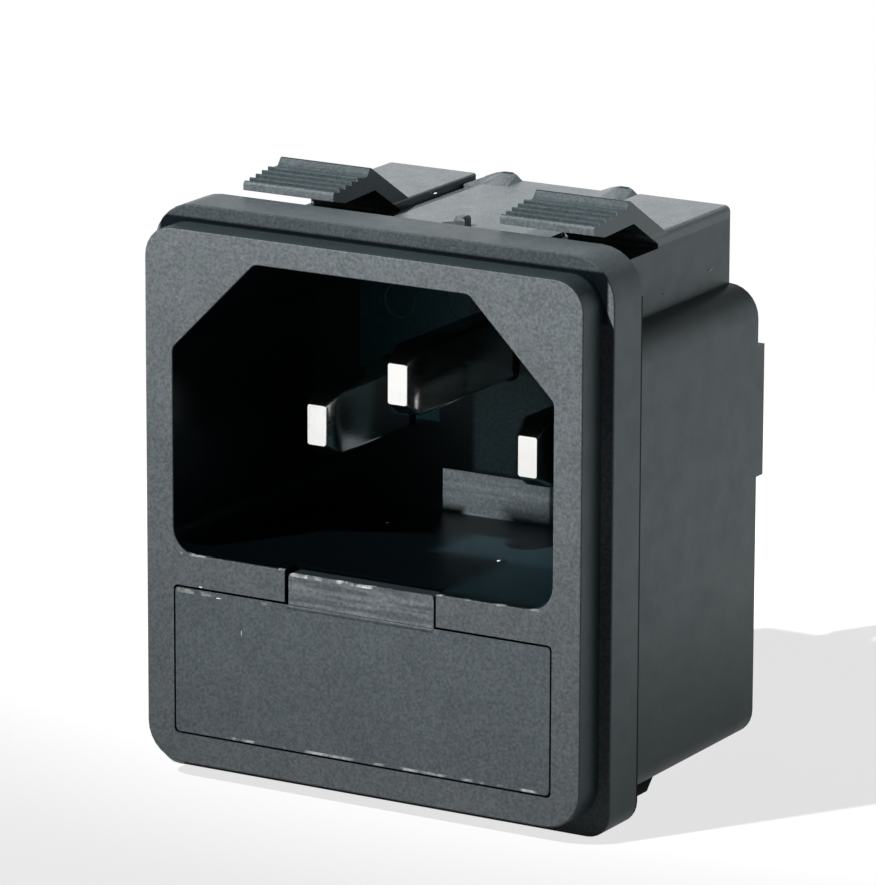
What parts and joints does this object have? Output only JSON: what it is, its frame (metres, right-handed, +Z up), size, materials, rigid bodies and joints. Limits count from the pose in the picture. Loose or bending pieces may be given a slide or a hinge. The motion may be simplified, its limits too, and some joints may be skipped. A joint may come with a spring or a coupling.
{
  "type": "power entry module",
  "caption": "Snap-in mains inlet with a raised square face, recessed contact blades, a front fuse drawer, sprung panel latches and rear push-on tabs.",
  "frame": {"origin": "under the middle of the part, at the height of the flange's lower edge, halfway between the front face and the terminals' ends", "axes": "+X to the right seen from the front, +Y from the front face through the panel to the terminals, +Z up towards the sprung latches"},
  "size_m": [0.0302, 0.0312, 0.0349],
  "materials": {
    "black_moulding": "finely textured black moulding",
    "drawer_moulding": "finely textured black moulding",
    "nickel_plate": "nickel-plated brass, satin",
    "spring_bronze": "phosphor bronze strip",
    "fuse_cap_metal": "nickel-plated cap",
    "fuse_glass": "clear glass tube",
    "fuse_wire_metal": "thin tinned wire"
  },
  "bodies": {
    "module": {"housing": "black_moulding", "rear_cover": "black_moulding", "line_pin": "nickel_plate", "neutral_pin": "nickel_plate", "earth_pin": "nickel_plate", "line_strap": "nickel_plate", "fused_terminal": "nickel_plate", "neutral_terminal": "nickel_plate", "earth_terminal": "nickel_plate", "fuse_contact_left": "spring_bronze", "fuse_contact_right": "spring_bronze"},
    "drawer": {"fuse_drawer": "drawer_moulding", "active_fuse_cap_left": "fuse_cap_metal", "active_fuse_cap_right": "fuse_cap_metal", "active_fuse_tube": "fuse_glass", "active_fuse_wire": "fuse_wire_metal", "spare_fuse_cap_left": "fuse_cap_metal", "spare_fuse_cap_right": "fuse_cap_metal", "spare_fuse_tube": "fuse_glass", "spare_fuse_wire": "fuse_wire_metal"}
  },
  "joints": [
    {"name": "drawer_slide", "type": "slide", "parent": "module", "child": "drawer", "axis": [0, -1, 0], "range_m": [0, 0.022]}
  ]
}
